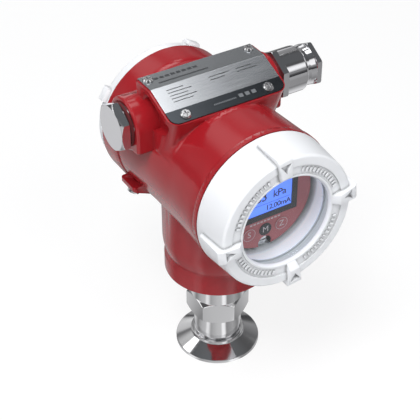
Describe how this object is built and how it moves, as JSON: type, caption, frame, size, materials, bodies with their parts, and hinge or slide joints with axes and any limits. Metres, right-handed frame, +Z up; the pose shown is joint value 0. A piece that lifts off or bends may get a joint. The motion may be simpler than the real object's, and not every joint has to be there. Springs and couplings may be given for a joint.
{
  "type": "diaphragm seal pressure transmitter",
  "caption": "Pressure transmitter with a painted cast housing, screwed window cover over a round display, conduit crossbar with gland and plug, and a clamp ferrule seal.",
  "frame": {"origin": "centre of the clamp ferrule's lower face, where the sealing plane is", "axes": "+Z up the sensor axis, display facing -Y, blanking plug on -X, cable gland on +X"},
  "size_m": [0.1291, 0.1367, 0.1837],
  "materials": {
    "stainless": "turned stainless steel, bright",
    "nickel": "bright nickel plate",
    "steel_screw": "bright zinc plate",
    "plate_steel": "finely brushed sheet",
    "black_anodised": "black anodised",
    "red_paint": "gloss powder coat over cast aluminium",
    "white_paint": "gloss powder coat over cast aluminium",
    "window_glass": "clear toughened glass",
    "seal_rubber": "matte black",
    "display_red": "satin printed overlay",
    "dark_plastic": "satin moulded",
    "grey_plastic": "satin moulded",
    "white_plastic": "satin moulded",
    "lcd_blue": "backlit liquid crystal panel",
    "circuit_board": "green solder mask",
    "brass_parts": "nickel-free turned brass"
  },
  "bodies": {
    "sensor": {"sensor_body": "stainless", "ferrule": "stainless", "process_diaphragm": "stainless", "sensor_capsule": "stainless", "sensor_board": "circuit_board", "neck_seal": "seal_rubber"},
    "enclosure": {"housing": "red_paint", "neck_lock_screw": "steel_screw", "nameplate": "plate_steel", "nameplate_screws": "steel_screw", "earth_washer": "steel_screw", "earth_screw": "steel_screw", "display_face": "display_red", "display_housing": "dark_plastic", "lcd_bezel": "dark_plastic", "lcd_panel": "lcd_blue", "lcd_backlight": "white_plastic", "display_board": "circuit_board", "display_board_screws": "steel_screw", "button_domes": "white_plastic", "display_head_screw": "steel_screw", "electronics_case": "grey_plastic", "main_board": "circuit_board", "processor_chip": "dark_plastic", "board_connector": "dark_plastic", "transformer_coil": "dark_plastic", "board_screws": "steel_screw", "module_screws": "steel_screw", "feedthrough": "brass_parts", "terminal_block": "grey_plastic", "terminal_screws": "brass_parts", "terminal_washers": "brass_parts", "block_screws": "steel_screw", "inner_earth_screw": "steel_screw"},
    "window_cover": {"front_cover": "white_paint", "cover_glass": "window_glass", "glass_gasket": "seal_rubber", "glass_clamp_ring": "black_anodised", "front_seal": "seal_rubber"},
    "back_cover": {"rear_cover": "white_paint", "rear_seal": "seal_rubber"},
    "plug": {"blanking_plug": "nickel", "plug_washer": "seal_rubber"},
    "gland": {"gland_body": "nickel", "gland_washer": "seal_rubber", "cable_grommet": "seal_rubber", "thrust_washer": "white_plastic"},
    "gland_cap": {"gland_cap_nut": "nickel"},
    "key_s": {"button_s": "dark_plastic"},
    "key_m": {"button_m": "dark_plastic"},
    "key_z": {"button_z": "dark_plastic"}
  },
  "joints": [
    {"name": "housing_turn", "type": "hinge", "parent": "sensor", "child": "enclosure", "pos_m": [0, 0, 0.1324], "axis": [0, 0, 1], "range_deg": [-180, 180]},
    {"name": "front_cover_screw", "type": "hinge", "parent": "enclosure", "child": "window_cover", "pos_m": [0, -0.05, 0.1324], "axis": [0, -1, 0], "range_deg": [0, 1845]},
    {"name": "rear_cover_screw", "type": "hinge", "parent": "enclosure", "child": "back_cover", "pos_m": [0, 0.06, 0.1324], "axis": [0, 1, 0], "range_deg": [0, 1845]},
    {"name": "plug_screw", "type": "hinge", "parent": "enclosure", "child": "plug", "pos_m": [-0.05, 0.0215, 0.159], "axis": [-1, 0, 0], "range_deg": [0, 3200]},
    {"name": "gland_screw", "type": "hinge", "parent": "enclosure", "child": "gland", "pos_m": [0.05, 0.0215, 0.159], "axis": [1, 0, 0], "range_deg": [0, 3400]},
    {"name": "gland_cap_screw", "type": "hinge", "parent": "gland", "child": "gland_cap", "pos_m": [0.07, 0.0215, 0.159], "axis": [1, 0, 0], "range_deg": [0, 1880]},
    {"name": "press_s", "type": "slide", "parent": "enclosure", "child": "key_s", "axis": [0, 1, 0], "range_m": [0, 0.0008], "stiffness_N_per_m": 1200, "springref_m": -0.0004},
    {"name": "press_m", "type": "slide", "parent": "enclosure", "child": "key_m", "axis": [0, 1, 0], "range_m": [0, 0.0008], "stiffness_N_per_m": 1200, "springref_m": -0.0004},
    {"name": "press_z", "type": "slide", "parent": "enclosure", "child": "key_z", "axis": [0, 1, 0], "range_m": [0, 0.0008], "stiffness_N_per_m": 1200, "springref_m": -0.0004}
  ]
}
